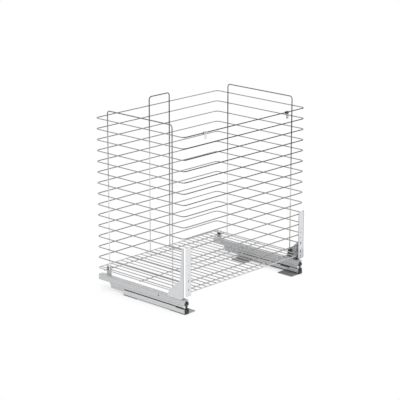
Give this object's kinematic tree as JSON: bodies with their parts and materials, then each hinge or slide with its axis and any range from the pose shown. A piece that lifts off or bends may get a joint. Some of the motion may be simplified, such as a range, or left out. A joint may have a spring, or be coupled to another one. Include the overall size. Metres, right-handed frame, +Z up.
{
  "type": "pull-out laundry basket",
  "caption": "Pull-out wire laundry basket on ball-bearing floor slides, with door brackets, door clips and grip loops that stand above its rim.",
  "frame": {"origin": "centre of the bounding box in plan, on the plane of the feet's undersides", "axes": "+Z up; -Y the door side, to which the basket pulls out; +X to the right as seen from the door side"},
  "size_m": [0.5506, 0.3774, 0.5724],
  "materials": {
    "chrome_wire": "bright plated wire",
    "zinc_steel": "zinc-plated sheet, satin",
    "black_plastic": "fine matt",
    "ball_steel": "polished",
    "fastener_steel": "zinc-plated"
  },
  "bodies": {
    "cabinet_rails": {"left_cabinet_rail": "zinc_steel", "left_front_foot": "zinc_steel", "left_rear_foot": "zinc_steel", "left_front_guide": "black_plastic", "left_slide_catch": "black_plastic", "right_cabinet_rail": "zinc_steel", "right_front_foot": "zinc_steel", "right_rear_foot": "zinc_steel", "right_front_guide": "black_plastic", "right_slide_catch": "black_plastic"},
    "basket": {"left_top_rail": "zinc_steel", "left_end_cap": "black_plastic", "left_door_bracket": "zinc_steel", "left_front_holder": "black_plastic", "left_rear_support": "zinc_steel", "left_support_snap": "black_plastic", "left_side_loop": "chrome_wire", "right_top_rail": "zinc_steel", "right_end_cap": "black_plastic", "right_door_bracket": "zinc_steel", "right_front_holder": "black_plastic", "right_rear_support": "zinc_steel", "right_support_snap": "black_plastic", "right_side_loop": "chrome_wire", "wall_ring_01": "chrome_wire", "wall_ring_02": "chrome_wire", "wall_ring_03": "chrome_wire", "wall_ring_04": "chrome_wire", "wall_ring_05": "chrome_wire", "wall_ring_06": "chrome_wire", "wall_ring_07": "chrome_wire", "wall_ring_08": "chrome_wire", "wall_ring_09": "chrome_wire", "wall_ring_10": "chrome_wire", "wall_ring_11": "chrome_wire", "wall_ring_12": "chrome_wire", "wall_ring_13": "chrome_wire", "wall_ring_14": "chrome_wire", "wall_ring_15": "chrome_wire", "rear_loop": "chrome_wire", "floor_wires": "chrome_wire", "cross_wires": "chrome_wire", "clip_bodies": "black_plastic", "clip_tabs": "zinc_steel", "bracket_screws": "fastener_steel", "support_rivets": "fastener_steel"},
    "left_middle_slide": {"left_middle_rail": "zinc_steel", "left_middle_bumper": "black_plastic"},
    "left_lower_ball_cage": {"left_lower_cage": "black_plastic", "left_lower_balls": "ball_steel"},
    "left_upper_ball_cage": {"left_upper_cage": "black_plastic", "left_upper_balls": "ball_steel"},
    "right_middle_slide": {"right_middle_rail": "zinc_steel", "right_middle_bumper": "black_plastic"},
    "right_lower_ball_cage": {"right_lower_cage": "black_plastic", "right_lower_balls": "ball_steel"},
    "right_upper_ball_cage": {"right_upper_cage": "black_plastic", "right_upper_balls": "ball_steel"}
  },
  "joints": [
    {"name": "basket_slide", "type": "slide", "parent": "cabinet_rails", "child": "basket", "axis": [0, -1, 0], "range_m": [0, 0.35]},
    {"name": "left_middle_slide_travel", "type": "slide", "parent": "cabinet_rails", "child": "left_middle_slide", "axis": [0, -1, 0], "range_m": [0, 0.175]},
    {"name": "left_lower_ball_cage_travel", "type": "slide", "parent": "cabinet_rails", "child": "left_lower_ball_cage", "axis": [0, -1, 0], "range_m": [0, 0.0875]},
    {"name": "left_upper_ball_cage_travel", "type": "slide", "parent": "cabinet_rails", "child": "left_upper_ball_cage", "axis": [0, -1, 0], "range_m": [0, 0.2625]},
    {"name": "right_middle_slide_travel", "type": "slide", "parent": "cabinet_rails", "child": "right_middle_slide", "axis": [0, -1, 0], "range_m": [0, 0.175]},
    {"name": "right_lower_ball_cage_travel", "type": "slide", "parent": "cabinet_rails", "child": "right_lower_ball_cage", "axis": [0, -1, 0], "range_m": [0, 0.0875]},
    {"name": "right_upper_ball_cage_travel", "type": "slide", "parent": "cabinet_rails", "child": "right_upper_ball_cage", "axis": [0, -1, 0], "range_m": [0, 0.2625]}
  ],
  "couplings": [
    {"joint": "left_middle_slide_travel", "follows": "basket_slide", "ratio": 0.5},
    {"joint": "left_lower_ball_cage_travel", "follows": "basket_slide", "ratio": 0.25},
    {"joint": "left_upper_ball_cage_travel", "follows": "basket_slide", "ratio": 0.75},
    {"joint": "right_middle_slide_travel", "follows": "basket_slide", "ratio": 0.5},
    {"joint": "right_lower_ball_cage_travel", "follows": "basket_slide", "ratio": 0.25},
    {"joint": "right_upper_ball_cage_travel", "follows": "basket_slide", "ratio": 0.75}
  ]
}
